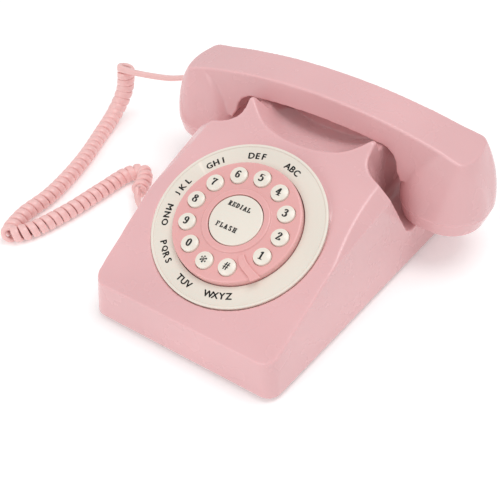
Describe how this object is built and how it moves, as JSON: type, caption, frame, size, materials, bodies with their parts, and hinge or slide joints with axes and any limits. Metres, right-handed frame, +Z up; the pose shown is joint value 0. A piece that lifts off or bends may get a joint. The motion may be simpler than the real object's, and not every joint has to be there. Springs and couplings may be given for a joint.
{
  "type": "desk telephone",
  "caption": "Wedge-shaped desk telephone with a push-button face in a rotary layout, a lift-off faceted handset in a horned cradle and a coiled cord.",
  "frame": {"origin": "middle of the housing's footprint, on the desk plane under the rubber feet", "axes": "+X is the caller's right along the handset, +Y is towards the back, +Z is up"},
  "size_m": [0.3107, 0.2176, 0.0953],
  "materials": {
    "shell_pink": "glossy moulded ABS",
    "face_pink": "glossy moulded ABS",
    "ring_cream": "satin moulded ABS",
    "key_cream": "glossy moulded ABS",
    "cord_pink": "satin PVC",
    "base_dark": "fine texture",
    "black_plastic": "matt",
    "clear_plastic": "clear polycarbonate",
    "rubber_grey": "soft matt",
    "mat_rubber": "silicone",
    "board_green": "solder mask",
    "steel": "zinc plated",
    "brass_wire": "spring wire",
    "wire_red": "PVC insulation",
    "foam_grey": "foam"
  },
  "bodies": {
    "base": {"upper_housing": "shell_pink", "base_plate": "base_dark", "rubber_feet": "rubber_grey", "housing_screws": "steel", "ballast_weight": "steel", "ballast_screws": "steel", "letter_ring": "ring_cream", "dial_face": "face_pink", "finger_stop": "face_pink", "rocker_pin": "steel", "keypad_mat": "mat_rubber", "keypad_board": "board_green", "keypad_screws": "steel", "face_screws": "steel", "main_board": "board_green", "board_components": "black_plastic", "board_screws": "steel", "ringer_speaker": "steel", "speaker_gasket": "foam_grey", "hook_bracket": "black_plastic", "bracket_screws": "steel", "hook_springs": "brass_wire", "hook_switch": "black_plastic", "handset_jack": "black_plastic", "line_jack": "black_plastic", "ringer_switch": "black_plastic", "tone_switch": "black_plastic", "wiring_loom": "wire_red", "base_plug": "clear_plastic", "coil_cord": "cord_pink"},
    "handset": {"handset_body": "shell_pink", "mouthpiece_cap": "shell_pink", "earpiece_cap": "shell_pink", "microphone_capsule": "black_plastic", "receiver_capsule": "black_plastic", "capsule_gaskets": "foam_grey", "handset_weight": "steel", "handset_socket": "black_plastic", "handset_wires": "wire_red", "handset_plug": "clear_plastic"},
    "hook": {"hook_yoke": "shell_pink"},
    "rocker": {"centre_rocker": "key_cream"},
    "ringer_slide": {"ringer_knob": "black_plastic"},
    "tone_slide": {"tone_knob": "black_plastic"},
    "key_1_body": {"key_1": "key_cream"},
    "key_2_body": {"key_2": "key_cream"},
    "key_3_body": {"key_3": "key_cream"},
    "key_4_body": {"key_4": "key_cream"},
    "key_5_body": {"key_5": "key_cream"},
    "key_6_body": {"key_6": "key_cream"},
    "key_7_body": {"key_7": "key_cream"},
    "key_8_body": {"key_8": "key_cream"},
    "key_9_body": {"key_9": "key_cream"},
    "key_0_body": {"key_0": "key_cream"},
    "key_star_body": {"key_star": "key_cream"},
    "key_hash_body": {"key_hash": "key_cream"}
  },
  "joints": [
    {"name": "handset_lift", "type": "slide", "parent": "base", "child": "handset", "axis": [0, 0, 1], "range_m": [0, 0.1], "deforming": ["coil_cord"]},
    {"name": "hook_rise", "type": "slide", "parent": "base", "child": "hook", "axis": [0, 0, 1], "range_m": [0, 0.005], "deforming": ["hook_springs"]},
    {"name": "rocker_tilt", "type": "hinge", "parent": "base", "child": "rocker", "pos_m": [0, -0.04226, 0.05843], "axis": [1, 0, 0], "range_deg": [-2.5, 2.5], "stiffness_Nm_per_rad": 0.2},
    {"name": "ringer_slide_travel", "type": "slide", "parent": "base", "child": "ringer_slide", "axis": [1, 0, 0], "range_m": [0, 0.006]},
    {"name": "tone_slide_travel", "type": "slide", "parent": "base", "child": "tone_slide", "axis": [1, 0, 0], "range_m": [0, 0.003]},
    {"name": "key_1_press", "type": "slide", "parent": "base", "child": "key_1_body", "axis": [0, 0.4067, -0.9135], "range_m": [0, 0.002], "stiffness_N_per_m": 150},
    {"name": "key_2_press", "type": "slide", "parent": "base", "child": "key_2_body", "axis": [0, 0.4067, -0.9135], "range_m": [0, 0.002], "stiffness_N_per_m": 150},
    {"name": "key_3_press", "type": "slide", "parent": "base", "child": "key_3_body", "axis": [0, 0.4067, -0.9135], "range_m": [0, 0.002], "stiffness_N_per_m": 150},
    {"name": "key_4_press", "type": "slide", "parent": "base", "child": "key_4_body", "axis": [0, 0.4067, -0.9135], "range_m": [0, 0.002], "stiffness_N_per_m": 150},
    {"name": "key_5_press", "type": "slide", "parent": "base", "child": "key_5_body", "axis": [0, 0.4067, -0.9135], "range_m": [0, 0.002], "stiffness_N_per_m": 150},
    {"name": "key_6_press", "type": "slide", "parent": "base", "child": "key_6_body", "axis": [0, 0.4067, -0.9135], "range_m": [0, 0.002], "stiffness_N_per_m": 150},
    {"name": "key_7_press", "type": "slide", "parent": "base", "child": "key_7_body", "axis": [0, 0.4067, -0.9135], "range_m": [0, 0.002], "stiffness_N_per_m": 150},
    {"name": "key_8_press", "type": "slide", "parent": "base", "child": "key_8_body", "axis": [0, 0.4067, -0.9135], "range_m": [0, 0.002], "stiffness_N_per_m": 150},
    {"name": "key_9_press", "type": "slide", "parent": "base", "child": "key_9_body", "axis": [0, 0.4067, -0.9135], "range_m": [0, 0.002], "stiffness_N_per_m": 150},
    {"name": "key_0_press", "type": "slide", "parent": "base", "child": "key_0_body", "axis": [0, 0.4067, -0.9135], "range_m": [0, 0.002], "stiffness_N_per_m": 150},
    {"name": "key_star_press", "type": "slide", "parent": "base", "child": "key_star_body", "axis": [0, 0.4067, -0.9135], "range_m": [0, 0.002], "stiffness_N_per_m": 150},
    {"name": "key_hash_press", "type": "slide", "parent": "base", "child": "key_hash_body", "axis": [0, 0.4067, -0.9135], "range_m": [0, 0.002], "stiffness_N_per_m": 150}
  ],
  "couplings": [
    {"joint": "hook_rise", "follows": "handset_lift", "ratio": 0.05}
  ]
}
